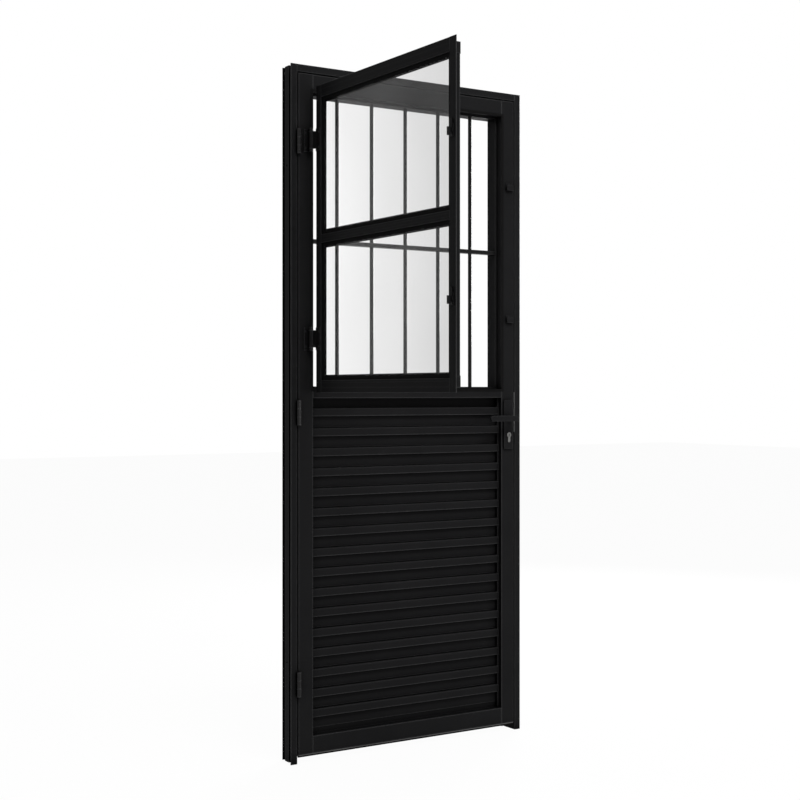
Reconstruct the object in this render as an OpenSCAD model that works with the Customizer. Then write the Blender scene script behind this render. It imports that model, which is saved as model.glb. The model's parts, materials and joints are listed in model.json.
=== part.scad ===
// Aluminium entrance door: frame, hinged leaf with a louvred lower half,
// and a glazed sash that swings open in front of a barred upper half.
// X runs to the right, Y from the room side to the street side, Z up.
// The origin is on the floor, in the middle of the frame's front face.

/* [Frame] */
// Overall width of the frame
frame_w = 860; // [760:10:960]
// Overall height of the frame
frame_h = 2100; // [2050:10:2200]
// Depth of the frame from front to back
frame_d = 73; // [69:1:90]
// Width of the frame's front face
flange_w = 22; // [21:1:28]
// Part of the front face that laps over the wall
flange_lip = 10; // [6:1:11]
// Thickness of the laps at the front and the back
lip_t = 2.4; // [1.8:0.2:3]
// Depth of the grooves along the frame's outer side
groove_depth = 5; // [3:0.5:5.5]
// Where the anchor rib between the grooves starts, from the front
rib_y = 31; // [28:1:33]
// Width of the anchor rib
rib_w = 25; // [23:1:26]
// Wall of the aluminium profiles
wall = 1.6; // [1.3:0.1:1.8]
// Small flats along the profiles' visible edges
edge = 0.8; // [0.4:0.1:1.2]
// Reach of the stop behind the leaf
stop_w = 9; // [7:0.5:12]
// Thickness of the seal on the stop
seal_t = 3.6; // [3:0.1:4]
// Diameter of the holes for the wall anchors
anchor_hole_d = 8; // [6:0.5:10]
// Height of the lower wall anchors
anchor_low_z = 300; // [200:10:400]
// Upper wall anchors from the top of the frame
anchor_top_drop = 300; // [200:10:400]

/* [Leaf] */
// Gap between leaf and frame
leaf_gap = 4; // [3.8:0.1:6]
// Depth of the leaf
leaf_d = 60; // [58:1:60]
// Width of the leaf's stiles
stile_w = 50; // [50:1:70]
// Height of the top rail
top_rail_h = 52; // [40:1:80]
// Height of the bottom rail
bottom_rail_h = 52; // [40:1:120]
// Height of the rail below the window
lock_rail_h = 28.5; // [20:0.5:40]
// Height of the lock rail's top edge above the floor
lock_rail_z = 1126; // [1120:1:1180]
// Height of the leaf's bottom edge above the floor
floor_gap = 26; // [15:1:40]
// Height of the aluminium carrier under the leaf
sweep_h = 3; // [2.5:0.5:4]
// Height of the seal below its carrier
bottom_seal_h = 5; // [3:0.5:10]

/* [Louvre] */
// Distance from one slat to the next
slat_pitch = 60.8; // [55:0.2:70]
// Drop from the lock rail to the first slat
slat_first = 30.6; // [26:0.2:40]
// Height of a slat's upright face
slat_face = 24.5; // [20:0.5:30]
// Set-back of a slat's hanging panel behind its face
slat_step = 12; // [9:0.5:14]
// Depth of a slat
slat_depth = 22; // [20:0.5:26]
// Sheet thickness of the slats and their channels
slat_t = 1.4; // [1:0.1:1.8]
// Radius of the slats' front nose
slat_nose = 3.2; // [2:0.2:4]
// How far the slats sit behind the leaf's front face
slat_recess = 13; // [8:0.5:16]
// Width of the channels that hold the slats' ends
channel_w = 6.5; // [5:0.5:9]

/* [Grille] */
// Diameter of the upright bars
bar_d = 12; // [8:0.5:14]
// Distance between the upright bars
bar_pitch = 125; // [100:1:140]
// Number of upright bars
bar_count = 5; // [3:2:5]
// Height of the cross bar
cross_bar_h = 13; // [10:0.5:20]
// Depth of the cross bar
cross_bar_d = 20; // [18:0.5:24]
// Reach of the window stop into the opening
win_stop_w = 7; // [5:0.5:10]
// Front of the window stop behind the leaf's front face
win_stop_y = 25; // [24:0.5:27]
// How far the window stop stands out behind the leaf
win_stop_back = 8; // [0:0.5:10]

/* [Sash] */
// Opening angle of the sash as stored
sash_open = 90; // [0:5:100]
// Lap of the sash over the leaf at its sides
sash_lap_x = 12.5; // [8:0.5:13]
// Lap of the sash over the leaf at top and bottom
sash_lap_z = 12.5; // [9.5:0.5:13]
// Clearance between the sash's body and the window opening
sash_air = 1.5; // [1.2:0.1:3]
// Width of the sash's rails
sash_face = 38; // [36:0.5:44]
// Width of the sash's stiles
sash_stile = 29.5; // [28:0.5:34]
// Depth of the sash
sash_t = 22.5; // [19:0.5:23]
// How far the sash stands in front of the leaf
sash_proud = 3; // [3:0.1:3.4]
// Height of the sash's middle rail
mid_rail_h = 25; // [22:0.5:40]
// Glass thickness
glass_t = 4; // [3:0.5:4]
// Depth of the sash's lip in front of the glass
glaze_y = 5; // [2.5:0.5:5]
// Width of the glazing rebate
rebate = 6; // [5:0.5:8]
// Thickness of the glazing gasket
gasket_t = 1; // [0.8:0.1:1.2]
// Width of the room side gasket that shows around the glass
gasket_w = 11; // [6:0.5:14]
// Width of the street side gasket that shows around the glass
outer_gasket_w = 15.5; // [6:0.5:18]
// Pivot of the sash hinges, beyond the edge of its lip
sash_pivot_out = 5; // [5:0.5:6]
// Pivot of the sash hinges, in front of the sash
sash_pivot_up = 15; // [15:0.5:17]
// Height of the sash hinges
sash_hinge_h = 68; // [60:1:80]
// Sash hinges from the ends of the sash to their middles
sash_hinge_inset = 162; // [120:1:180]
// Sash latches from the ends of the sash to their pivots
sash_latch_inset = 243; // [240:1:300]

/* [Hinges] */
// Height of the leaf hinges
hinge_h = 72; // [60:1:90]
// Diameter of the leaf hinges' knuckles
knuckle_d = 14; // [12:0.5:15]
// Diameter of the hinge pins
pin_d = 5; // [4:0.1:5]
// Width of the hinge flaps
flap_w = 34; // [26:1:40]
// Thickness of the hinge flaps
flap_t = 1.85; // [1.7:0.05:1.85]
// Height of the lowest hinge
hinge_low_z = 240; // [150:1:280]
// Highest hinge from the top of the frame
hinge_top_drop = 233; // [150:1:280]

/* [Lock] */
// Height of the handle's axis above the floor
handle_z = 1030; // [1028:1:1036]
// Clearance between the outer handle plate and the frame's stop
plate_clear = 2; // [1:0.5:5]
// Distance from the handle's axis to the cylinder's axis
lock_centres = 55; // [55:1:60]
// Length of the lever from its axis
lever_len = 102; // [90:1:120]
// Height of the lever's grip
lever_h = 18; // [14:0.5:20]
// Thickness of the lever's grip
lever_t = 11; // [8:0.5:13]
// How far the lever stands off the leaf
lever_reach = 50; // [45:1:60]
// Width of the handle plates
plate_w = 36; // [34:0.5:42]
// Height of the handle plates
plate_h = 161; // [150:1:175]
// Thickness of the handle plates
plate_t = 6; // [4:0.5:8]
// Side of the square spindle
spindle_w = 8; // [7:0.5:8]
// Throw of the spring latch
latch_throw = 12; // [8:0.5:12]
// Throw of the dead bolt
dead_throw = 13; // [8:0.5:13]
// Thickness of the bolts
bolt_t = 10; // [8:0.5:12]
// Height of the bolts
bolt_h = 20; // [16:0.5:20]
// Thickness of the strike plate on the jamb
strike_t = 1; // [0.8:0.1:1.2]

/* [Fits] */
// Radial clearance of pins and shafts that turn
run_fit = 0.05; // [0.02:0.01:0.1]
// Clearance of pieces that slot into one another
slot_fit = 0.2; // [0.1:0.05:0.3]
// Shank diameter of the countersunk screws
screw_d = 3.2; // [2.8:0.1:3.6]
// Head diameter of the countersunk screws
screw_head_d = 6.2; // [5.6:0.1:6.6]
// Length of the countersunk screws
screw_len = 7; // [6:0.5:8]

/* [Hidden] */
$fn = 48;
eps = 0.1;
black = [0.11, 0.11, 0.115];
rubber = [0.05, 0.05, 0.05];
steel = [0.62, 0.63, 0.64];
aluminium = [0.78, 0.79, 0.8];

// Air between flat faces that pass each other
air = 0.3;

// Frame lines
frame_x = frame_w / 2;
reveal_x = frame_x - flange_w;
reveal_z = frame_h - flange_w;
groove_u = flange_lip + groove_depth;
slot_u = groove_u + wall;
slot_w = flange_w - wall - slot_u;
seal_gap = 0.4;
seal_inset = 2;
stop_y = leaf_d + seal_t + seal_gap;
corner_screw_d = min(3.5, slot_w - 2 * run_fit);
corner_head = [corner_screw_d + 3.5, 2];
corner_bite = 20;
corner_screw_ys = [rib_y / 2, (rib_y + rib_w + frame_d - lip_t) / 2];
anchor_zs = [anchor_low_z, frame_h - anchor_top_drop];

// Leaf lines
leaf_x = reveal_x - leaf_gap;
leaf_z = reveal_z - leaf_gap;
open_x = leaf_x - stile_w;
win_z = [lock_rail_z, leaf_z - top_rail_h];
mid_z = (win_z[0] + win_z[1]) / 2;
louvre_z = [floor_gap + bottom_rail_h, lock_rail_z - lock_rail_h];
sweep_inset = 2;
sweep_wall = 1.6;
sweep_web = 1.2;

// Louvre lines
slat_air = 2;
slat_drop = slat_pitch - slat_air;
slat_end = open_x - slat_t - slot_fit;
channel_y = slat_recess + slat_t + 2 * slot_fit;
slat_top_z = louvre_z[1] - slat_first;
slat_count = floor((slat_top_z - louvre_z[0] - slat_pitch) / slat_pitch) + 1;
slat_zs = [for (i = [0 : slat_count - 1]) slat_top_z - i * slat_pitch];
slat_upstand = 12;
sill_lap = 8;

// Grille lines
stop_wall = 1.5;
bar_air = 1;
bar_y = win_stop_y + stop_wall + bar_d / 2 + bar_air;
bar_xs = [for (i = [0 : bar_count - 1]) (i - (bar_count - 1) / 2) * bar_pitch];
stop_x = open_x - win_stop_w;
stop_z = [win_z[0] + win_stop_w, win_z[1] - win_stop_w];

// Sash lines, in its closed place
sash_x = open_x + sash_lap_x;
sash_z = [win_z[0] - sash_lap_z, win_z[1] + sash_lap_z];
sash_y = -sash_proud;
sash_lip = max(sash_lap_x, sash_lap_z) + sash_air;
sash_lip_t = 2;
stile_body = sash_stile - rebate;
sash_back = sash_y + sash_t;
sash_seal_t = 0.7;
pane_x = sash_x - sash_stile;
panes = [
    [sash_z[0] + sash_face, mid_z - mid_rail_h / 2],
    [mid_z + mid_rail_h / 2, sash_z[1] - sash_face]];
glass_y = sash_y + glaze_y + gasket_t;
bead_y = glass_y + glass_t + gasket_t;
pane_air = 1.5;
pane_edge = rebate - pane_air;
pivot = [-sash_x - sash_pivot_out, sash_y - sash_pivot_up];
sash_hinge_zs = [sash_z[0] + sash_hinge_inset, sash_z[1] - sash_hinge_inset];
sash_knuckle_r = 5.5;
sash_end_knuckle = 8;
sash_mid_knuckle = sash_hinge_h - 2 * (sash_end_knuckle + air);
sash_belly = [sash_pivot_out / 2, sash_pivot_up / 2];
sash_plate_t = 2.5;
sash_plate_w = 26;
sash_arm_w = 6;
sash_base_screw_x = pivot[0] - sash_knuckle_r - 0.65 * screw_head_d;
sash_base_x = [sash_base_screw_x - 0.85 * screw_head_d, pivot[0] + sash_arm_w / 2];
sash_plate_inset = 2;
sash_flap_screw_x = -sash_x + sash_plate_inset + 0.7 * sash_plate_w;
cap_t = 1;
cap_h = 30;

// Sash latches, in the sash's closed place
latch_in = (sash_lip + stile_body) / 2;
latch_x = sash_x - latch_in;
latch_zs = [sash_z[0] + sash_latch_inset, sash_z[1] - sash_latch_inset];
latch_base_t = 2;
latch_base = [20, 34];
latch_pin_d = 6;
tongue_t = 2.7;
tongue_w = 10;
tongue_hold = 12;
tongue_len = latch_in + tongue_hold;
tongue_y = sash_y - latch_base_t - air;
keeper_lead = 4;
keeper_inset = 8;
keeper_x = [sash_x + keeper_lead, leaf_x - keeper_inset];
keeper_h = 24;
keeper_t = 2;
keeper_lip_y = tongue_y - tongue_t - 2 * air;

// Leaf hinge lines
hinge_x = -(reveal_x + leaf_x) / 2;
knuckle_proud = 0.5;
hinge_y = -knuckle_d / 2 - knuckle_proud;
hinge_zs = [hinge_low_z, (hinge_low_z + frame_h - hinge_top_drop) / 2, frame_h - hinge_top_drop];
flap_clear = knuckle_d / 2 + air;
pin_cap = 1.5;
hinge_screw_y = flap_w * 0.6;
hinge_screw_dz = hinge_h / 3;

// Lock lines
backset = plate_w / 2 + stop_w - leaf_gap + plate_clear;
handle_x = leaf_x - backset;
cylinder_z = handle_z - lock_centres;
lock_y = rib_y + 9;
case_d = bolt_t + 8;
case_air = 2.4;
case_x = open_x + wall + case_air;
bolt_tail = 12;
bolt_end_air = 2;
faceplate_w = bolt_t + 11;
faceplate_t = 2;
faceplate_z = [cylinder_z - 40, handle_z + 75];
case_z = [cylinder_z - 30, handle_z + 55];
latch_z = handle_z + 25;
dead_z = handle_z - 30;
bolt_fit = 0.3;
hub_d = 18;
cylinder_r = 8.5;
cylinder_stem = 33;
cylinder_proud = 3;
plug_d = 12.6;
plate_z = cylinder_z - 46;
strike_z = [dead_z - 16, latch_z + 60];
strike_y = [1.5, lock_y + 14];
spindle_hole_d = 14;
spindle_grip = 11;

// Straight bar along X: the outline is drawn as depth, height
module along_x(x0, x1) {
    translate([x0, 0, 0]) rotate([90, 0, 90]) linear_extrude(x1 - x0) children();
}

// Straight bar along Y: the outline is drawn as width, height
module along_y(y0, y1) {
    translate([0, y1, 0]) rotate([90, 0, 0]) linear_extrude(y1 - y0) children();
}

// The same on both sides of the door
module both_sides() {
    children();
    mirror([1, 0, 0]) children();
}

// Countersunk screw, head at the origin, shank along +Z
module screw() {
    rotate_extrude()
        polygon([[0, 0], [screw_head_d / 2, 0], [screw_d / 2, wall], [screw_d / 2, screw_len],
            [0, screw_len]]);
}

// Hole for the countersunk screw
module screw_hole() {
    rotate_extrude()
        polygon([[0, -eps], [screw_head_d / 2 + run_fit, -eps], [screw_head_d / 2 + run_fit, 0],
            [screw_d / 2 + run_fit, wall], [screw_d / 2 + run_fit, screw_len + eps],
            [0, screw_len + eps]]);
}

// Hollow section of the leaf's stiles and rails
module tube(w, d) {
    difference() {
        polygon([[edge, 0], [w - edge, 0], [w, edge], [w, d - edge], [w - edge, d],
            [edge, d], [0, d - edge], [0, edge]]);
        translate([wall, wall]) square([w - 2 * wall, d - 2 * wall]);
    }
}

// Section of the frame, drawn inwards from its outer edge and back from its front
module frame_profile() {
    difference() {
        polygon([[edge, 0], [flange_w - edge, 0], [flange_w, edge], [flange_w, stop_y],
            [flange_w + stop_w, stop_y], [flange_w + stop_w, frame_d], [flange_lip, frame_d],
            [flange_lip, frame_d - lip_t], [groove_u, frame_d - lip_t],
            [groove_u, rib_y + rib_w], [flange_lip, rib_y + rib_w], [flange_lip, rib_y],
            [groove_u, rib_y], [groove_u, lip_t], [0, lip_t], [0, edge]]);
        polygon([[slot_u, lip_t], [slot_u + slot_w, lip_t],
            [slot_u + slot_w, stop_y + wall], [flange_w + stop_w - wall, stop_y + wall],
            [flange_w + stop_w - wall, frame_d - wall], [slot_u, frame_d - wall],
            [slot_u, rib_y + rib_w - wall], [flange_lip + wall, rib_y + rib_w - wall],
            [flange_lip + wall, rib_y + wall], [slot_u, rib_y + wall]]);
    }
}

// One jamb on the hinge side: anchor holes, corner screw holes, and its stop cut off below the head
module jamb() {
    difference() {
        translate([-frame_x, 0, 0]) linear_extrude(frame_h) frame_profile();
        for (z = anchor_zs)
            translate([-frame_x, rib_y + rib_w / 2, z])
                rotate([0, 90, 0]) cylinder(d = anchor_hole_d, h = flange_w + eps);
        corner_screw_spots()
            cylinder(d = corner_screw_d + 2 * run_fit, h = 2 * flange_w, center = true);
        translate([-reveal_x, stop_y - eps, reveal_z])
            cube([stop_w + eps, frame_d - stop_y + 2 * eps, flange_w + eps]);
    }
}

// Axes of the screws that hold the head to one jamb, along X
module corner_screw_spots() {
    for (y = corner_screw_ys)
        translate([-frame_x + groove_u, y, frame_h - slot_u - slot_w / 2])
            rotate([0, 90, 0]) children();
}

module hinge_jamb() {
    color(black)
        difference() {
            jamb();
            frame_hinge_screws() screw_hole();
        }
}

module lock_jamb() {
    color(black)
        difference() {
            mirror([1, 0, 0]) jamb();
            for (z = [latch_z, dead_z]) bolt_port(reveal_x - eps, reveal_x + wall + eps, z);
            strike_screws() screw_hole();
        }
}

// Opening for one bolt
module bolt_port(x0, x1, z) {
    fit = bolt_fit + slot_fit;
    translate([x0, lock_y - bolt_t / 2 - fit, z - bolt_h / 2 - fit])
        cube([x1 - x0, bolt_t + 2 * fit, bolt_h + 2 * fit]);
}

module frame_head() {
    color(black)
        difference() {
            along_x(-reveal_x, reveal_x) translate([0, frame_h]) rotate(-90) frame_profile();
            both_sides()
                translate([-reveal_x - eps, stop_y, reveal_z - stop_w - eps])
                    cube([stop_w + eps, frame_d - stop_y + eps, stop_w + eps]);
        }
}

module frame_seals() {
    h = reveal_z - stop_w;
    w = stop_w - 2 * seal_inset;
    color(rubber) {
        both_sides() translate([-reveal_x + seal_inset, stop_y - seal_t, 0]) seal_strip(w, h);
        along_x(-reveal_x + stop_w, reveal_x - stop_w)
            translate([stop_y - seal_t, reveal_z - seal_inset - w]) seal_profile_x(w);
    }
}

// Seal with a raised lip towards the leaf
module seal_strip(w, h) {
    linear_extrude(h) polygon(seal_points(w));
}

module seal_profile_x(w) {
    polygon([for (p = seal_points(w)) [p[1], p[0]]]);
}

function seal_points(w) =
    [[0, seal_t], [0, seal_t * 0.55], [w * 0.25, 0], [w * 0.5, seal_t * 0.45],
        [w * 0.75, 0], [w, seal_t * 0.55], [w, seal_t]];

module frame_corner_screws() {
    color(steel)
        both_sides()
            corner_screw_spots() {
                translate([0, 0, -corner_head[1]]) cylinder(d = corner_head[0], h = corner_head[1]);
                cylinder(d = corner_screw_d, h = flange_w + corner_bite);
            }
}

// Places of the strike plate's screws
module strike_screws() {
    for (z = [(latch_z + dead_z) / 2, strike_z[1] - 12])
        translate([reveal_x - strike_t, lock_y, z]) rotate([0, 90, 0]) children();
}

module strike_plate() {
    color(steel)
        difference() {
            translate([reveal_x - strike_t, strike_y[0], strike_z[0]])
                cube([strike_t, strike_y[1] - strike_y[0], strike_z[1] - strike_z[0]]);
            for (z = [latch_z, dead_z]) bolt_port(reveal_x - strike_t - eps, reveal_x + eps, z);
            strike_screws() screw_hole();
        }
}

// Places of the screws in the hinge flaps on the frame
module frame_hinge_screws() {
    for (z = hinge_zs, s = [-1, 1])
        translate([-reveal_x + flap_t, hinge_y + hinge_screw_y, z + s * hinge_screw_dz])
            rotate([0, -90, 0]) children();
}

// Places of the screws in the hinge flaps on the leaf
module leaf_hinge_screws() {
    for (z = hinge_zs, s = [-1, 1])
        translate([-leaf_x - flap_t, hinge_y + hinge_screw_y, z + s * hinge_screw_dz])
            rotate([0, 90, 0]) children();
}

module frame_fitting_screws() {
    color(steel) {
        frame_hinge_screws() screw();
        strike_screws() screw();
    }
}

// One hinge half: a flap beside the pin and the knuckles that it carries
module hinge_half(side, spans) {
    difference() {
        union() {
            for (s = spans)
                translate([0, 0, s[0]]) {
                    cylinder(d = knuckle_d, h = s[1] - s[0]);
                    flap_part(side, 0, s[1] - s[0]);
                }
            translate([0, 0, -hinge_h / 2]) flap_part(side, flap_clear, hinge_h);
        }
        translate([0, 0, -hinge_h]) cylinder(d = pin_d + 2 * run_fit, h = 2 * hinge_h);
    }
}

// Flat of a hinge flap, from y0 back to the flap's rear edge
module flap_part(side, y0, h) {
    x0 = leaf_gap / 2 - flap_t;
    translate([side > 0 ? x0 : -x0 - flap_t, y0, 0]) cube([flap_t, flap_w - y0, h]);
}

module leaf_hinge_frame_flaps() {
    k = hinge_h / 6 + air / 2;
    color(steel)
        difference() {
            for (z = hinge_zs)
                translate([hinge_x, hinge_y, z])
                    hinge_half(-1, [[-hinge_h / 2, -k], [k, hinge_h / 2]]);
            frame_hinge_screws() screw_hole();
        }
}

module leaf_hinge_leaf_flaps() {
    k = hinge_h / 6 - air / 2;
    color(steel)
        difference() {
            for (z = hinge_zs) translate([hinge_x, hinge_y, z]) hinge_half(1, [[-k, k]]);
            leaf_hinge_screws() screw_hole();
        }
}

module leaf_hinge_pins() {
    color(steel)
        for (z = hinge_zs)
            translate([hinge_x, hinge_y, z]) {
                translate([0, 0, -hinge_h / 2]) cylinder(d = pin_d, h = hinge_h);
                for (s = [-1, 1])
                    translate([0, 0, s * (hinge_h + pin_cap) / 2])
                        cylinder(d = knuckle_d - 1, h = pin_cap, center = true);
            }
}

module hinge_stile() {
    color(black)
        difference() {
            translate([-leaf_x, 0, floor_gap])
                linear_extrude(leaf_z - floor_gap) tube(stile_w, leaf_d);
            leaf_hinge_screws() screw_hole();
            sash_base_screws() screw_hole();
        }
}

module lock_stile() {
    color(black)
        difference() {
            translate([open_x, 0, floor_gap])
                linear_extrude(leaf_z - floor_gap) tube(stile_w, leaf_d);
            translate([leaf_x - faceplate_t, lock_y - faceplate_w / 2 - slot_fit, faceplate_z[0] - slot_fit])
                cube([faceplate_t + eps, faceplate_w + 2 * slot_fit,
                    faceplate_z[1] - faceplate_z[0] + 2 * slot_fit]);
            lock_cuts(-eps, leaf_d + eps);
            keeper_screws() screw_hole();
        }
}

// Holes across the leaf for the spindle and the cylinder
module lock_cuts(y0, y1) {
    along_y(y0, y1) {
        translate([handle_x, handle_z]) circle(d = spindle_hole_d);
        translate([handle_x, cylinder_z]) cylinder_outline(slot_fit);
    }
}

// Outline of the profile cylinder, grown by a clearance
module cylinder_outline(grow) {
    stem_w = 10 + 2 * grow;
    circle(r = cylinder_r + grow);
    translate([-stem_w / 2, cylinder_r - cylinder_stem + 5 - grow])
        square([stem_w, cylinder_stem - cylinder_r - 5 + grow]);
    translate([0, cylinder_r - cylinder_stem + 5]) circle(d = stem_w);
}

module leaf_top_rail() {
    color(black)
        along_x(-open_x, open_x) translate([0, win_z[1]]) tube(leaf_d, top_rail_h);
}

module lock_rail() {
    color(black)
        along_x(-open_x, open_x) translate([0, louvre_z[1]]) tube(leaf_d, lock_rail_h);
}

module leaf_bottom_rail() {
    color(black)
        along_x(-open_x, open_x) translate([0, floor_gap]) tube(leaf_d, bottom_rail_h);
}

// Channel under the leaf that holds the bottom seal
module sweep_carrier() {
    a = sweep_inset;
    b = sweep_inset + sweep_wall;
    color(aluminium)
        along_x(-leaf_x + 1, leaf_x - 1)
            translate([0, floor_gap])
                polygon([[a, 0], [leaf_d - a, 0], [leaf_d - a, -sweep_h], [leaf_d - b, -sweep_h],
                    [leaf_d - b, -sweep_web], [b, -sweep_web], [b, -sweep_h], [a, -sweep_h]]);
}

module bottom_seal() {
    inset = sweep_inset + sweep_wall + air;
    fin = 3;
    h = sweep_h - sweep_web + bottom_seal_h;
    color(rubber)
        along_x(-leaf_x + 1, leaf_x - 1)
            translate([0, floor_gap - sweep_web])
                polygon([[inset, 0], [inset, -h], [inset + fin, -h], [inset + 2 * fin, -h * 0.4],
                    [leaf_d - inset - 2 * fin, -h * 0.4], [leaf_d - inset - fin, -h],
                    [leaf_d - inset, -h], [leaf_d - inset, 0]]);
}

// Upright channels on the stiles; their front lips stand behind the slats' faces
module louvre_channels() {
    d = slat_recess + slat_depth + slot_fit + slat_t - channel_y;
    color(black)
        both_sides()
            translate([-open_x, channel_y, louvre_z[0]])
                linear_extrude(louvre_z[1] - louvre_z[0])
                    difference() {
                        square([channel_w, d]);
                        translate([slat_t, slat_t]) square([channel_w, d - 2 * slat_t]);
                    }
}

// One slat: nose, upright face, shelf, hanging panel and rear upstand; top front edge at the origin
module slat_outline() {
    r = slat_nose;
    t = slat_t;
    p = slat_step;
    d = slat_depth;
    polygon(concat(
        [for (a = [180 : -15 : 90]) [r + r * cos(a), -r + r * sin(a)]],
        [[d - t, 0], [d - t, slat_upstand], [d, slat_upstand], [d, -t], [p + t, -t],
            [p + t, -slat_drop], [p, -slat_drop], [p, -t], [r, -t], [t, -r],
            [t, -slat_face], [0, -slat_face]]));
}

// Slats, notched at both ends to pass the channels' front lips
module louvre_slats() {
    color(black)
        difference() {
            for (z = slat_zs)
                along_x(-slat_end, slat_end) translate([slat_recess, z]) slat_outline();
            both_sides()
                translate([open_x - channel_w - slot_fit, channel_y - slot_fit, louvre_z[0]])
                    cube([channel_w + slot_fit, slat_t + 2 * slot_fit, louvre_z[1] - louvre_z[0]]);
        }
}

// Angle under the lock rail that closes the louvre behind the first slat
module louvre_top_strip() {
    y = slat_depth - 2 * (slat_t + air);
    drop = slat_first - slat_air;
    color(black)
        along_x(-slat_end, slat_end)
            translate([slat_recess, louvre_z[1]])
                polygon([[slat_nose + slat_t, 0], [y + slat_t, 0], [y + slat_t, -drop], [y, -drop],
                    [y, -slat_t], [slat_nose + slat_t, -slat_t]]);
}

// Angle on the bottom rail that closes the louvre behind the last slat
module louvre_sill_strip() {
    y = slat_step + slat_t + air;
    up = slat_zs[slat_count - 1] - slat_drop - louvre_z[0] + sill_lap;
    color(black)
        along_x(-slat_end, slat_end)
            translate([slat_recess, louvre_z[0]])
                polygon([[y, 0], [slat_depth, 0], [slat_depth, slat_t], [y + slat_t, slat_t],
                    [y + slat_t, up], [y, up]]);
}

// Channel section of the window stop, open towards the rail or stile behind it
module stop_outline() {
    w = win_stop_w;
    d = leaf_d + win_stop_back - win_stop_y;
    t = stop_wall;
    polygon([[0, 0], [w, 0], [w, d], [0, d], [0, d - t], [w - t, d - t], [w - t, t], [0, t]]);
}

module window_stop_stiles() {
    color(black)
        both_sides()
            translate([-open_x, win_stop_y, win_z[0]])
                linear_extrude(win_z[1] - win_z[0]) stop_outline();
}

module window_stop_rails() {
    color(black)
        difference() {
            for (s = [0, 1])
                along_x(-stop_x, stop_x)
                    translate([win_stop_y, win_z[s]])
                        mirror([0, s]) mirror([1, -1]) stop_outline();
            bars(bar_d + 2 * run_fit);
        }
}

// Round bars from rail to rail
module bars(d) {
    for (x = bar_xs)
        translate([x, bar_y, win_z[0]]) cylinder(d = d, h = win_z[1] - win_z[0]);
}

module grille_bars() {
    color(black) bars(bar_d);
}

module grille_cross_bar() {
    color(black)
        difference() {
            along_x(-stop_x, stop_x)
                translate([bar_y - cross_bar_d / 2, mid_z - cross_bar_h / 2])
                    tube(cross_bar_d, cross_bar_h);
            bars(bar_d + 2 * run_fit);
        }
}

// Seal on the leaf around the window, reaching a little into the opening
module sash_seal() {
    w = 8;
    reach = sash_air - cap_t - air;
    color(rubber)
        along_y(-sash_seal_t, 0)
            difference() {
                window_field(w - reach);
                window_field(-reach);
            }
}

// The window opening grown on all sides
module window_field(grow) {
    translate([-open_x - grow, win_z[0] - grow])
        square([2 * (open_x + grow), win_z[1] - win_z[0] + 2 * grow]);
}

// Places of the screws in the sash hinges' fixed plates
module sash_base_screws() {
    for (z = sash_hinge_zs, s = [-1, 1])
        translate([sash_base_screw_x, -sash_plate_t, z + s * sash_hinge_h / 3])
            rotate([-90, 0, 0]) children();
}

// Places of the screws in the keepers
module keeper_screws() {
    for (z = latch_zs)
        translate([(keeper_x[0] + keeper_x[1]) / 2, -keeper_t, z + keeper_h / 2 - screw_head_d * 0.6])
            rotate([-90, 0, 0]) children();
}

// Places of the screws in the lock's faceplate
module faceplate_screws() {
    for (z = [faceplate_z[0] + 7, faceplate_z[1] - 7])
        translate([leaf_x, lock_y, z]) rotate([0, -90, 0]) children();
}

module leaf_fitting_screws() {
    color(steel) {
        leaf_hinge_screws() screw();
        sash_base_screws() screw();
        keeper_screws() screw();
        faceplate_screws() screw();
    }
}

module lock_case() {
    color(steel)
        difference() {
            translate([case_x, lock_y - case_d / 2, case_z[0]])
                cube([leaf_x - faceplate_t - case_x, case_d, case_z[1] - case_z[0]]);
            lock_cuts(0, leaf_d);
            for (z = [latch_z, dead_z]) bolt_port(handle_x - bolt_tail - bolt_end_air, leaf_x, z);
        }
}

module lock_faceplate() {
    color(steel)
        difference() {
            translate([leaf_x - faceplate_t, lock_y - faceplate_w / 2, faceplate_z[0]])
                cube([faceplate_t, faceplate_w, faceplate_z[1] - faceplate_z[0]]);
            for (z = [latch_z, dead_z]) bolt_port(leaf_x - faceplate_t - eps, leaf_x + eps, z);
            faceplate_screws() screw_hole();
        }
}

module lock_cylinder() {
    color(steel)
        difference() {
            translate([handle_x, 0, cylinder_z])
                along_y(-plate_t - cylinder_proud, leaf_d + plate_t + cylinder_proud)
                    cylinder_outline(0);
            translate([handle_x, -plate_t - cylinder_proud - eps, cylinder_z])
                rotate([-90, 0, 0])
                    cylinder(d = plug_d + 2 * run_fit, h = leaf_d + 2 * (plate_t + cylinder_proud + eps));
        }
}

module cylinder_plug() {
    y0 = -plate_t - cylinder_proud;
    len = leaf_d + 2 * (plate_t + cylinder_proud);
    key = [2, 8, 12];
    color(steel)
        difference() {
            translate([handle_x, y0, cylinder_z]) rotate([-90, 0, 0]) cylinder(d = plug_d, h = len);
            for (y = [y0 - eps, y0 + len - key[2]])
                translate([handle_x - key[0] / 2, y, cylinder_z - key[1] / 2])
                    cube([key[0], key[2] + eps, key[1]]);
        }
}

// Handle plate with rounded corners, lying on the face at y0
module escutcheon(y0) {
    r = 5;
    x0 = handle_x - plate_w / 2;
    difference() {
        along_y(y0, y0 + plate_t) {
            translate([x0 + r, plate_z]) square([plate_w - 2 * r, plate_h]);
            translate([x0, plate_z + r]) square([plate_w, plate_h - 2 * r]);
            for (x = [x0 + r, x0 + plate_w - r], z = [plate_z + r, plate_z + plate_h - r])
                translate([x, z]) circle(r = r);
        }
        along_y(y0 - eps, y0 + plate_t + eps) {
            translate([handle_x, handle_z]) circle(d = hub_d + 2 * run_fit);
            translate([handle_x, cylinder_z]) cylinder_outline(slot_fit);
        }
    }
}

module inner_escutcheon() {
    color(black) escutcheon(-plate_t);
}

module outer_escutcheon() {
    color(black) escutcheon(leaf_d);
}

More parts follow.
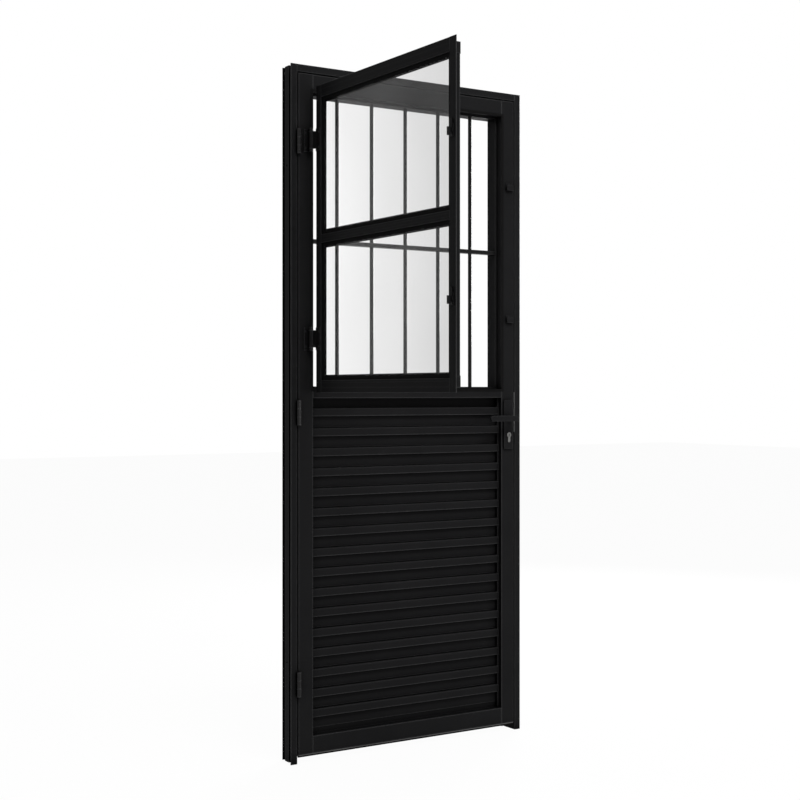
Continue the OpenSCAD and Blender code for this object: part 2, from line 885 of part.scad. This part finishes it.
// Lever on the room side: hub in the plate, neck, and a flat grip to the left
module lever() {
    neck_d = 16;
    hub_proud = 2;
    r = lever_h / 2;
    difference() {
        union() {
            along_y(-plate_t - hub_proud, -eps) circle(d = hub_d);
            along_y(-lever_reach, -plate_t - hub_proud / 2) circle(d = neck_d);
            along_y(-lever_reach, -lever_reach + lever_t) {
                circle(r = r);
                translate([-lever_len + r, -r]) square([lever_len - r, lever_h]);
                translate([-lever_len + r, 0]) circle(r = r);
            }
        }
        along_y(-plate_t - spindle_grip - 1, eps) square(spindle_w + 2 * run_fit, center = true);
    }
}

module inner_lever() {
    color(black) translate([handle_x, 0, handle_z]) lever();
}

module outer_lever() {
    color(black)
        translate([handle_x, leaf_d, handle_z]) mirror([0, 1, 0]) lever();
}

module lever_spindle() {
    color(steel)
        translate([handle_x, 0, handle_z])
            along_y(-plate_t - spindle_grip, leaf_d + plate_t + spindle_grip)
                square(spindle_w, center = true);
}

// Spring latch with a slanted nose on the street side
module latch_bolt() {
    x0 = handle_x + 6;
    x1 = leaf_x + latch_throw;
    color(steel)
        translate([0, lock_y - bolt_t / 2, latch_z - bolt_h / 2])
            linear_extrude(bolt_h)
                polygon([[x0, 0], [leaf_x + 1, 0], [x1, bolt_t - 2], [x1, bolt_t], [x0, bolt_t]]);
}

module dead_bolt() {
    x0 = handle_x - bolt_tail;
    color(steel)
        translate([x0, lock_y - bolt_t / 2, dead_z - bolt_h / 2])
            cube([leaf_x - x0, bolt_t, bolt_h]);
}

// Keeper: a plate, a shelf and a front lip that catch the sash latch's tongue
module sash_keepers() {
    color(black)
        difference() {
            for (z = latch_zs)
                along_x(keeper_x[0], keeper_x[1])
                    translate([0, z - keeper_h / 2])
                        polygon([[0, 0], [0, keeper_h], [-keeper_t, keeper_h], [-keeper_t, keeper_t],
                            [keeper_lip_y, keeper_t], [keeper_lip_y, keeper_h * 0.7],
                            [keeper_lip_y - keeper_t, keeper_h * 0.7], [keeper_lip_y - keeper_t, 0]]);
            keeper_screws() screw_hole();
        }
}

// Fixed half of a sash hinge: plate on the stile and two knuckles in front of it
module sash_hinge_bases() {
    color(black)
        difference() {
            for (z = sash_hinge_zs)
                translate([0, 0, z]) {
                    translate([sash_base_x[0], -sash_plate_t, -sash_hinge_h / 2])
                        cube([sash_base_x[1] - sash_base_x[0], sash_plate_t, sash_hinge_h]);
                    for (s = [-1, 1]) sash_base_knuckle(s);
                }
            sash_base_screws() screw_hole();
            sash_hinge_bores();
        }
}

// Knuckle above or below the sash's own, with the arm that carries it
module sash_base_knuckle(s) {
    h = sash_end_knuckle;
    translate([pivot[0], pivot[1], s * (sash_hinge_h - h) / 2]) {
        cylinder(r = sash_knuckle_r, h = h, center = true);
        translate([-sash_arm_w / 2, 0, -h / 2]) cube([sash_arm_w, -pivot[1], h]);
    }
}

// Bores of the sash hinges' pins
module sash_hinge_bores() {
    for (z = sash_hinge_zs)
        translate([pivot[0], pivot[1], z])
            cylinder(d = pin_d + 2 * run_fit, h = 2 * sash_hinge_h, center = true);
}

module sash_hinge_pins() {
    color(black)
        for (z = sash_hinge_zs)
            translate([pivot[0], pivot[1], z]) {
                cylinder(d = pin_d, h = sash_hinge_h, center = true);
                for (s = [-1, 1])
                    translate([0, 0, s * (sash_hinge_h + pin_cap) / 2])
                        cylinder(r = sash_knuckle_r - 1, h = pin_cap, center = true);
            }
}

// Puts what is drawn on the closed sash where the open sash has it
module on_sash() {
    translate([pivot[0], pivot[1], 0]) rotate([0, 0, -sash_open])
        translate([-pivot[0], -pivot[1], 0]) children();
}

// Section of a sash member of width f, drawn inwards from the edge of its lip and back from its front
module sash_profile(f) {
    b = f - rebate;
    difference() {
        polygon([[edge, 0], [f - edge, 0], [f, edge], [f, glaze_y], [b, glaze_y], [b, sash_t],
            [sash_lip, sash_t], [sash_lip, sash_lip_t], [0, sash_lip_t], [0, edge]]);
        translate([sash_lip + wall, wall])
            square([b - sash_lip - 2 * wall, sash_t - 2 * wall]);
    }
}

// Upright of the sash on its hinge side; its body stops short at both ends, where only the lip laps on
module sash_upright() {
    h = sash_z[1] - sash_z[0];
    difference() {
        translate([-sash_x, sash_y, sash_z[0]]) linear_extrude(h) sash_profile(sash_stile);
        for (z = [sash_z[0] - eps, sash_z[1] - sash_lip])
            translate([-sash_x - eps, sash_y + sash_lip_t, z])
                cube([sash_stile + 2 * eps, sash_t, sash_lip + eps]);
    }
}

// Cross piece of the sash at its foot, butted between the uprights and lapping into their rebates
module sash_foot() {
    x = sash_x - stile_body;
    difference() {
        along_x(-x, x) translate([sash_y, sash_z[0]]) mirror([1, -1]) sash_profile(sash_face);
        both_sides()
            translate([pane_x, sash_y - eps, sash_z[0] - eps])
                cube([rebate + eps, glaze_y + eps, sash_face + 2 * eps]);
    }
}

module sash_hinge_stile() {
    color(black)
        on_sash()
            difference() {
                sash_upright();
                sash_flap_screws() screw_hole();
            }
}

module sash_free_stile() {
    color(black)
        on_sash()
            difference() {
                mirror([1, 0, 0]) sash_upright();
                latch_base_screws() screw_hole();
                latch_pivots() cylinder(d = latch_pin_d + 2 * run_fit, h = latch_base_t + wall + 2 * eps);
            }
}

// Caps over the ends of the uprights' bodies
module sash_corner_caps() {
    x = -sash_x + sash_lip;
    z = sash_z[0] + sash_lip;
    color(black)
        on_sash()
            for (s = [0, 1])
                both_sides()
                    translate([0, 0, s * 2 * mid_z]) mirror([0, 0, s])
                        along_y(sash_y + sash_lip_t, sash_back + cap_t)
                            polygon([[x - cap_t, z - cap_t], [-sash_x + stile_body, z - cap_t],
                                [-sash_x + stile_body, z], [x, z], [x, z + cap_h], [x - cap_t, z + cap_h]]);
}

module sash_bottom_rail() {
    color(black) on_sash() sash_foot();
}

module sash_top_rail() {
    color(black)
        on_sash() translate([0, 0, 2 * mid_z]) mirror([0, 0, 1]) sash_foot();
}

module sash_mid_rail() {
    h = mid_rail_h / 2;
    b = h - rebate;
    x = pane_x + rebate;
    color(black)
        on_sash()
            difference() {
                along_x(-x, x)
                    translate([sash_y, mid_z])
                        difference() {
                            polygon([[0, -h + edge], [edge, -h], [glaze_y, -h], [glaze_y, -b],
                                [sash_t, -b], [sash_t, b], [glaze_y, b], [glaze_y, h], [edge, h],
                                [0, h - edge]]);
                            translate([wall, -b + wall]) square([sash_t - 2 * wall, 2 * (b - wall)]);
                        }
                both_sides()
                    translate([pane_x, sash_y - eps, mid_z - h - eps])
                        cube([rebate + eps, glaze_y + eps, 2 * (h + eps)]);
            }
}

// A pane's field between the sash's faces, grown on all sides
module pane_field(p, grow) {
    translate([-pane_x - grow, p[0] - grow])
        square([2 * (pane_x + grow), p[1] - p[0] + 2 * grow]);
}

module pane(p) {
    on_sash() along_y(glass_y, glass_y + glass_t) pane_field(p, pane_edge);
}

module glass_lower() {
    color([0.8, 0.86, 0.86, 0.3]) pane(panes[0]);
}

module glass_upper() {
    color([0.8, 0.86, 0.86, 0.3]) pane(panes[1]);
}

// Flat gaskets on both sides of the glass
module glazing_gaskets() {
    sides = [[glass_y - gasket_t, gasket_w], [glass_y + glass_t, outer_gasket_w]];
    color(rubber)
        on_sash()
            for (p = panes, s = sides)
                along_y(s[0], s[0] + gasket_t)
                    difference() {
                        pane_field(p, rebate - 0.5);
                        pane_field(p, -s[1]);
                    }
}

// Section of a glazing bead: width towards the pane's edge, depth towards the glass
module bead_outline() {
    d = sash_back - bead_y;
    bevel = rebate / 2;
    polygon([[0, 0], [rebate, 0], [rebate, d], [bevel, d], [0, d - bevel]]);
}

// Four beads that hold a pane from the street side
module beads(p) {
    on_sash() {
        both_sides()
            translate([-pane_x, bead_y, p[0] - rebate])
                linear_extrude(p[1] - p[0] + 2 * rebate) mirror([1, 0]) bead_outline();
        for (z = [[p[0], 1], [p[1], 0]])
            along_x(-pane_x + slot_fit, pane_x - slot_fit)
                translate([bead_y, z[0]]) mirror([0, z[1]]) mirror([1, -1]) bead_outline();
    }
}

module glazing_beads_lower() {
    color(black) beads(panes[0]);
}

module glazing_beads_upper() {
    color(black) beads(panes[1]);
}

// Places of the screws in the sash hinges' moving plates
module sash_flap_screws() {
    for (z = sash_hinge_zs, s = [-1, 1])
        translate([sash_flap_screw_x, sash_y - sash_plate_t, z + s * sash_hinge_h / 3])
            rotate([-90, 0, 0]) children();
}

// Moving half of a sash hinge: plate on the sash, and a round-bellied arm to the long middle knuckle
module sash_hinge_flaps() {
    post_x = -sash_x - sash_pivot_out + sash_arm_w / 2;
    post_w = sash_pivot_out - sash_arm_w / 2 + 4;
    color(black)
        on_sash()
            difference() {
                for (z = sash_hinge_zs) {
                    translate([-sash_x + sash_plate_inset, sash_y - sash_plate_t, z - sash_hinge_h / 2])
                        cube([sash_plate_w, sash_plate_t, sash_hinge_h]);
                    translate([0, 0, z - sash_mid_knuckle / 2])
                        linear_extrude(sash_mid_knuckle) {
                            translate(pivot) circle(r = sash_knuckle_r);
                            translate(pivot + sash_belly) circle(r = sash_knuckle_r);
                            translate([post_x, pivot[1]]) square([post_w, sash_pivot_up]);
                        }
                }
                sash_flap_screws() screw_hole();
                sash_hinge_bores();
            }
}

// Places of the sash latches' pivots, pointing into the sash
module latch_pivots() {
    for (z = latch_zs)
        translate([latch_x, sash_y - latch_base_t - eps, z]) rotate([-90, 0, 0]) children();
}

// Places of the screws in the latch bases
module latch_base_screws() {
    for (z = latch_zs, s = [-1, 1])
        translate([latch_x, sash_y - latch_base_t, z + s * (latch_base[1] / 2 - screw_head_d * 0.7)])
            rotate([-90, 0, 0]) children();
}

module sash_fitting_screws() {
    color(steel)
        on_sash() {
            sash_flap_screws() screw();
            latch_base_screws() screw();
        }
}

module sash_latch_bases() {
    color(black)
        on_sash()
            difference() {
                for (z = latch_zs)
                    translate([latch_x - latch_base[0] / 2, sash_y - latch_base_t, z - latch_base[1] / 2])
                        cube([latch_base[0], latch_base_t, latch_base[1]]);
                latch_base_screws() screw_hole();
                latch_pivots() cylinder(d = latch_pin_d + 2 * run_fit, h = latch_base_t + 2 * eps);
            }
}

// Turning part of a sash latch, parked with its tongue upright
module sash_latch(z) {
    hub_r = 8;
    tab_t = 4;
    tab_reach = 10;
    translate([latch_x, 0, z]) {
        along_y(tongue_y - tongue_t, tongue_y) {
            circle(r = hub_r);
            translate([-tongue_w / 2, 0]) square([tongue_w, tongue_len - tongue_w / 2]);
            translate([0, tongue_len - tongue_w / 2]) circle(d = tongue_w);
        }
        along_y(tongue_y - eps, sash_y + wall) circle(d = latch_pin_d);
        along_y(tongue_y - tongue_t - tab_reach, tongue_y - tongue_t) {
            translate([-tab_t / 2, -hub_r - 6]) square([tab_t, 2 * hub_r + 6]);
        }
    }
}

module sash_latch_lower() {
    color(black) on_sash() sash_latch(latch_zs[0]);
}

module sash_latch_upper() {
    color(black) on_sash() sash_latch(latch_zs[1]);
}

hinge_jamb();
lock_jamb();
frame_head();
frame_seals();
frame_corner_screws();
strike_plate();
frame_fitting_screws();
leaf_hinge_frame_flaps();
leaf_hinge_pins();
hinge_stile();
lock_stile();
leaf_top_rail();
lock_rail();
leaf_bottom_rail();
sweep_carrier();
bottom_seal();
louvre_channels();
louvre_slats();
louvre_top_strip();
louvre_sill_strip();
window_stop_stiles();
window_stop_rails();
grille_cross_bar();
grille_bars();
sash_seal();
leaf_hinge_leaf_flaps();
leaf_fitting_screws();
lock_case();
lock_faceplate();
lock_cylinder();
inner_escutcheon();
outer_escutcheon();
sash_keepers();
sash_hinge_bases();
sash_hinge_pins();
sash_hinge_stile();
sash_free_stile();
sash_top_rail();
sash_mid_rail();
sash_bottom_rail();
sash_corner_caps();
glass_upper();
glass_lower();
glazing_gaskets();
glazing_beads_upper();
glazing_beads_lower();
sash_hinge_flaps();
sash_fitting_screws();
sash_latch_bases();
inner_lever();
outer_lever();
lever_spindle();
latch_bolt();
dead_bolt();
cylinder_plug();
sash_latch_upper();
sash_latch_lower();
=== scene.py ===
"""Looks of the aluminium door: materials, studio light and the camera."""

import json
import math

import bpy
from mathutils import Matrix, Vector


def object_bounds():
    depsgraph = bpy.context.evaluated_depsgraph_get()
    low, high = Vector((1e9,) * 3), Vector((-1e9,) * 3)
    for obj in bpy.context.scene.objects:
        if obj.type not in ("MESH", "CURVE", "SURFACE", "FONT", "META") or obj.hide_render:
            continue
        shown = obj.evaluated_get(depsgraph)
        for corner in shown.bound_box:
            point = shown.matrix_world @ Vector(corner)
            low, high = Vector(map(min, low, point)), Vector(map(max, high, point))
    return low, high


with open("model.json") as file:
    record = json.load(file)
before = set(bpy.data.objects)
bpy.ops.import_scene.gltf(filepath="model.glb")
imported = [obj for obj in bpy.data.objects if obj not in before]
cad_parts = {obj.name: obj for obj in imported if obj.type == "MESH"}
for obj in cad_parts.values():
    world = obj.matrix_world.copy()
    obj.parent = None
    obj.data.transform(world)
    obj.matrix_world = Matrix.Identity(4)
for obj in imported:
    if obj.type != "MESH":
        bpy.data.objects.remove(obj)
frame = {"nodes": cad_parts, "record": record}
cad_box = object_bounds()
nodes = frame["nodes"]
scene = bpy.context.scene

# Camera
CAMERA_PLACE = (-2.4495, -3.7495, 1.1129)
CAMERA_TILT = 90.0
CAMERA_TURN = -32.7
CAMERA_LENS = 63.93
SENSOR_WIDTH = 36.0
CAMERA_SHIFT_Y = -0.00875

# Black paint: flats, and a thin lighter line along every edge, a guess from the photo's bright edges
PAINT = (0.0092, 0.0092, 0.0096)
PAINT_LIFT = (0.0108, 0.0108, 0.0112)
# Edge tones: a painted highlight, lighter lines that stand in for the edges' shine
PROFILE_HIGHLIGHT = (0.045, 0.045, 0.046)
SLAT_HIGHLIGHT = (0.05, 0.05, 0.051)
FITTING_HIGHLIGHT = (0.028, 0.028, 0.0285)
EDGE_WIDTH = 0.004
EDGE_SPAN = (0.86, 0.995)
EDGE_SAMPLES = 4
PAINT_GLOSS = 0.012
SATIN = (0.34, 0.46)
SHINY = (0.2, 0.3)
PEEL_DETAIL = 2.0
PEEL_DEPTH = 0.0002
GRAIN_SCALE = 900.0
CLOUD_SCALE = 7.0

# Painted shade, darker in the joints between the profiles and in recesses
PAINTED_SHADE = (0.0022, 0.0022, 0.0023)
SHADE_REACH = 0.045
SHADE_SPAN = (0.35, 1.0)
SHADE_SAMPLES = 8

# Coats: darker and lighter tone, painted edge highlight tone, roughness, gloss, strength of the
# orange peel
FITTING = (0.009, 0.009, 0.0095)
FITTING_LIFT = (0.011, 0.011, 0.0115)
GLOSSY = (0.004, 0.004, 0.0041)
GLOSSY_LIFT = (0.005, 0.005, 0.0051)
PLASTIC = (0.009, 0.009, 0.0093)
COATS = {
    "black_paint": (PAINT, PAINT_LIFT, PROFILE_HIGHLIGHT, SATIN, PAINT_GLOSS, 0.05),
    "black_slats": (PAINT, PAINT_LIFT, SLAT_HIGHLIGHT, SATIN, PAINT_GLOSS, 0.05),
    "black_fittings": (FITTING, FITTING_LIFT, FITTING_HIGHLIGHT, (0.28, 0.4), 0.02, 0.04),
    "hinge_paint": (GLOSSY, GLOSSY_LIFT, FITTING_HIGHLIGHT, SHINY, 0.18, 0.02),
    "bar_paint": (GLOSSY, GLOSSY_LIFT, FITTING_HIGHLIGHT, SHINY, 0.1, 0.02),
    "black_plastic": (PLASTIC, FITTING_LIFT, SLAT_HIGHLIGHT, (0.45, 0.6), 0.02, 0.08),
}

# Bare metals: darker and lighter tone, roughness, and how the grain is scaled along each axis
METALS = {
    "screw_steel": ((0.012, 0.012, 0.0125), (0.02, 0.02, 0.021), (0.35, 0.5), (1, 1, 1)),
    "bright_steel": ((0.3, 0.3, 0.3), (0.45, 0.45, 0.44), (0.25, 0.4), (0.05, 1, 1)),
    "mill_aluminium": ((0.05, 0.05, 0.05), (0.09, 0.09, 0.09), (0.3, 0.45), (0.05, 1, 1)),
    "cylinder_metal": ((0.11, 0.11, 0.107), (0.18, 0.18, 0.175), (0.16, 0.28), (1, 0.05, 1)),
}
METAL_SCALE = 220.0
METAL_DETAIL = 4.0
METAL_BUMP = 0.08
METAL_DEPTH = 0.0002

# Rubber
RUBBER = (0.004, 0.004, 0.004)
RUBBER_BLOOM = (0.007, 0.007, 0.007)
RUBBER_SCALE = 400.0
RUBBER_GLOSS = 0.02
RUBBER_ROUGH = (0.65, 0.85)
RUBBER_BUMP = 0.2
RUBBER_DEPTH = 0.0003

# Glass: a painted reflection that dims and hazes the pane, more towards the free stile and in soft
# clouds, and a guess
GLASS_CLEAR = (0.97, 0.97, 0.97)
GLASS_DIM = (0.64, 0.64, 0.64)
GLASS_IOR = 1.15
LET_THROUGH = (0.96, 0.99)
LET_THROUGH_SPAN = (0.3, 0.7)
REFLECTION_ALONG = 0.7
REFLECTION_CLOUDS = 0.4
REFLECTION_SCALE = 3.0
REFLECTION_DETAIL = 1.0
REFLECTION_SPAN = (0.2, 1.0)

# Studio
WHITE = (1.0, 1.0, 1.0)
FLOOR_SIZE = 40.0
FLOOR_COLOUR = (0.86, 0.86, 0.86)
FLOOR_GLOW = 0.96
FLOOR_DROP = 0.0005
ROOM_LIGHT = 0.27

# Lamps: name, place, aim, width and height, power
LAMPS = (
    ("front", (0.9, -5.0, 1.0), (0.0, 0.0, 0.9), (3.0, 2.0), 55.0),
    ("high", (-0.2, -3.8, 5.0), (0.0, 0.0, 0.8), (2.4, 1.4), 208.0),
    ("back", (3.2, 2.6, 2.4), (0.0, 0.0, 1.0), (1.6, 2.0), 190.0),
)


class Shader:
    """Short way to build one node tree."""

    def __init__(self, tree, output):
        self.tree = tree
        self.tree.nodes.clear()
        self.output = self.add(output)

    def add(self, kind, **settings):
        node = self.tree.nodes.new("ShaderNode" + kind)
        for key, value in settings.items():
            setattr(node, key, value)
        return node

    def link(self, source, target):
        self.tree.links.new(source, target)

    def place(self):
        return self.add("TexCoord").outputs["Object"]

    def noise(self, vector, scale, detail=3.0):
        node = self.add("TexNoise")
        node.inputs["Scale"].default_value = scale
        node.inputs["Detail"].default_value = detail
        self.link(vector, node.inputs["Vector"])
        return node.outputs["Fac"]

    def part(self, vector, axis):
        node = self.add("SeparateXYZ")
        self.link(vector, node.inputs[0])
        return node.outputs[axis]

    def stretched(self, vector, factors):
        node = self.add("Mapping")
        node.inputs["Scale"].default_value = factors
        self.link(vector, node.inputs["Vector"])
        return node.outputs["Vector"]

    def math(self, operation, first, second):
        node = self.add("Math", operation=operation)
        for socket, value in zip(node.inputs, (first, second)):
            if isinstance(value, float):
                socket.default_value = value
            else:
                self.link(value, socket)
        return node.outputs[0]

    def ramp(self, fac, low, high, span=(0.3, 0.7)):
        node = self.add("ValToRGB")
        for stop, colour, at in zip(node.color_ramp.elements, (low, high), span):
            stop.color = (*colour, 1.0)
            stop.position = at
        self.link(fac, node.inputs["Fac"])
        return node.outputs["Color"]

    def spread(self, fac, low, high, span=(0.0, 1.0)):
        node = self.add("MapRange")
        for name, value in zip(("From Min", "From Max", "To Min", "To Max"), (*span, low, high)):
            node.inputs[name].default_value = value
        self.link(fac, node.inputs["Value"])
        return node.outputs["Result"]

    def blend(self, fac, first, second):
        node = self.add("MixRGB")
        self.link(fac, node.inputs["Fac"])
        self.link(first, node.inputs["Color1"])
        node.inputs["Color2"].default_value = (*second, 1.0)
        return node.outputs["Color"]

    def bump(self, height, strength, distance):
        node = self.add("Bump")
        node.inputs["Strength"].default_value = strength
        node.inputs["Distance"].default_value = distance
        self.link(height, node.inputs["Height"])
        return node.outputs["Normal"]

    def edge(self):
        """1 on a thin line along every edge, where a highlight is painted, 0 on open faces, whichever
        way they face.
        """
        rounded = self.add("Bevel", samples=EDGE_SAMPLES)
        rounded.inputs["Radius"].default_value = EDGE_WIDTH
        node = self.add("VectorMath", operation="DOT_PRODUCT")
        self.link(rounded.outputs["Normal"], node.inputs[0])
        self.link(self.add("NewGeometry").outputs["True Normal"], node.inputs[1])
        return self.spread(node.outputs["Value"], 1.0, 0.0, EDGE_SPAN)

    def crevice(self):
        """1 deep in joints and recesses, where shade is painted, 0 on open faces."""
        node = self.add("AmbientOcclusion", samples=SHADE_SAMPLES)
        node.inputs["Distance"].default_value = SHADE_REACH
        return self.spread(node.outputs["AO"], 1.0, 0.0, SHADE_SPAN)

    def surface(self, shader):
        self.link(shader, self.output.inputs["Surface"])

    def principled(self, **values):
        node = self.add("BsdfPrincipled")
        for key, value in values.items():
            node.inputs[key.replace("_", " ")].default_value = value
        self.surface(node.outputs["BSDF"])
        return node


def new_material(name):
    material = bpy.data.materials.new(name)
    material.use_nodes = True
    return material, Shader(material.node_tree, "OutputMaterial")


def coated(name, low, high, edge, rough, gloss, grain):
    """Coated metal: fine orange peel, slow clouds of tone, uneven sheen, a painted highlight along
    edges, painted shade in joints.
    """
    material, mat = new_material(name)
    place = mat.place()
    clouds = mat.noise(place, CLOUD_SCALE)
    peel = mat.noise(place, GRAIN_SCALE, PEEL_DETAIL)
    shader = mat.principled(Metallic=0.0, Specular_IOR_Level=gloss)
    # Painted highlight: a lighter line along every edge stands in for the edges' shine
    edge_highlighted = mat.blend(mat.edge(), mat.ramp(clouds, low, high), edge)
    # Painted shade: darker deep in joints and recesses
    mat.link(mat.blend(mat.crevice(), edge_highlighted, PAINTED_SHADE), shader.inputs["Base Color"])
    mat.link(mat.spread(clouds, *rough), shader.inputs["Roughness"])
    mat.link(mat.bump(peel, grain, PEEL_DEPTH), shader.inputs["Normal"])
    return material


def bare_metal(name, low, high, rough, along):
    """Bare metal brushed or drawn along one axis."""
    material, mat = new_material(name)
    lines = mat.noise(mat.stretched(mat.place(), along), METAL_SCALE, METAL_DETAIL)
    shader = mat.principled(Metallic=1.0)
    mat.link(mat.ramp(lines, low, high), shader.inputs["Base Color"])
    mat.link(mat.spread(lines, *rough), shader.inputs["Roughness"])
    mat.link(mat.bump(lines, METAL_BUMP, METAL_DEPTH), shader.inputs["Normal"])
    return material


def rubber():
    """Matt black seal with a dusty bloom."""
    material, mat = new_material("rubber")
    grain = mat.noise(mat.place(), RUBBER_SCALE)
    shader = mat.principled(Specular_IOR_Level=RUBBER_GLOSS)
    mat.link(mat.ramp(grain, RUBBER, RUBBER_BLOOM), shader.inputs["Base Color"])
    mat.link(mat.spread(grain, *RUBBER_ROUGH), shader.inputs["Roughness"])
    mat.link(mat.bump(grain, RUBBER_BUMP, RUBBER_DEPTH), shader.inputs["Normal"])
    return material


def clear_glass():
    """Clear pane with a painted reflection that dims and hazes it, more towards the free stile."""
    material, mat = new_material("clear_glass")
    place = mat.place()
    reach = [corner[1] for corner in nodes["glass_lower"].bound_box]
    # Painted reflection: the pane dims and hazes more towards the free stile and in soft clouds
    along = mat.spread(mat.part(place, "Y"), REFLECTION_ALONG, 0.0, (min(reach), max(reach)))
    clouds = mat.noise(place, REFLECTION_SCALE, REFLECTION_DETAIL)
    painted_reflection = mat.math("ADD", along, mat.spread(clouds, 0.0, REFLECTION_CLOUDS))
    shader = mat.principled(Roughness=0.0, IOR=GLASS_IOR)
    mat.link(mat.ramp(painted_reflection, GLASS_CLEAR, GLASS_DIM, REFLECTION_SPAN), shader.inputs["Base Color"])
    mat.link(mat.spread(clouds, *LET_THROUGH, LET_THROUGH_SPAN), shader.inputs["Transmission Weight"])
    return material


def studio_white(mat, lit, seen):
    """Mixes what lights the scene with what camera, mirror and glass rays see as the backdrop."""
    rays = mat.add("LightPath").outputs
    pick = mat.math("MAXIMUM", rays["Is Camera Ray"], rays["Is Glossy Ray"])
    mix = mat.add("MixShader")
    mat.link(mat.math("MAXIMUM", pick, rays["Is Transmission Ray"]), mix.inputs["Fac"])
    mat.link(lit, mix.inputs[1])
    mat.link(seen, mix.inputs[2])
    mat.surface(mix.outputs[0])


def glow(mat, kind, strength):
    node = mat.add(kind)
    node.inputs["Color"].default_value = (*WHITE, 1.0)
    node.inputs["Strength"].default_value = strength
    return node.outputs[0]


def make_world():
    """White backdrop; a softer level of the same white lights the door."""
    world = bpy.data.worlds.new("studio")
    world.use_nodes = True
    scene.world = world
    mat = Shader(world.node_tree, "OutputWorld")
    studio_white(mat, glow(mat, "Background", ROOM_LIGHT), glow(mat, "Background", 1.0))


def make_floor():
    """Pale floor, mostly lit from itself for the camera, so its shadow is faint."""
    mesh = bpy.data.meshes.new("floor")
    half = FLOOR_SIZE / 2
    corners = [(-half, -half, 0.0), (half, -half, 0.0), (half, half, 0.0), (-half, half, 0.0)]
    mesh.from_pydata(corners, [], [(0, 1, 2, 3)])
    floor = bpy.data.objects.new("floor", mesh)
    floor.location.z = cad_box[0].z - FLOOR_DROP
    scene.collection.objects.link(floor)
    material, mat = new_material("floor")
    diffuse = mat.add("BsdfDiffuse")
    diffuse.inputs["Color"].default_value = (*FLOOR_COLOUR, 1.0)
    seen = mat.add("MixShader")
    seen.inputs["Fac"].default_value = FLOOR_GLOW
    mat.link(diffuse.outputs[0], seen.inputs[1])
    mat.link(glow(mat, "Emission", 1.0), seen.inputs[2])
    studio_white(mat, diffuse.outputs[0], seen.outputs[0])
    mesh.materials.append(material)


def make_lamp(name, place, target, size, power):
    """Soft rectangular lamp aimed at a point."""
    data = bpy.data.lights.new(name, "AREA")
    data.shape = "RECTANGLE"
    data.size, data.size_y = size
    data.energy = power
    lamp = bpy.data.objects.new(name, data)
    lamp.location = place
    lamp.rotation_euler = (Vector(target) - Vector(place)).to_track_quat("-Z", "Y").to_euler()
    scene.collection.objects.link(lamp)


def make_camera():
    data = bpy.data.cameras.new("camera")
    data.lens = CAMERA_LENS
    data.sensor_width = SENSOR_WIDTH
    data.shift_y = CAMERA_SHIFT_Y
    camera = bpy.data.objects.new("camera", data)
    camera.location = CAMERA_PLACE
    camera.rotation_euler = (math.radians(CAMERA_TILT), 0.0, math.radians(CAMERA_TURN))
    scene.collection.objects.link(camera)
    scene.camera = camera


make_camera()
make_world()
make_floor()
for lamp_row in LAMPS:
    make_lamp(*lamp_row)

coats = {name: coated(name, *look) for name, look in COATS.items()}
slot_materials = {
    "black_paint": coats["black_paint"],
    "black_slats": coats["black_slats"],
    "black_fittings": coats["black_fittings"],
    "black_plastic": coats["black_plastic"],
    "hinge_metal": coats["hinge_paint"],
    "seal_rubber": rubber(),
    "glass": clear_glass(),
}
for name, look in METALS.items():
    slot_materials[name] = bare_metal(name, *look)
node_materials = {
    "grille_bars": coats["bar_paint"],
    "grille_cross_bar": coats["bar_paint"],
}

for row in frame["record"]["subparts"]:
    mesh = nodes[row["node"]].data
    mesh.materials.clear()
    mesh.materials.append(node_materials.get(row["node"], slot_materials[row["material_slot"]]))

scene.view_settings.view_transform = "Standard"
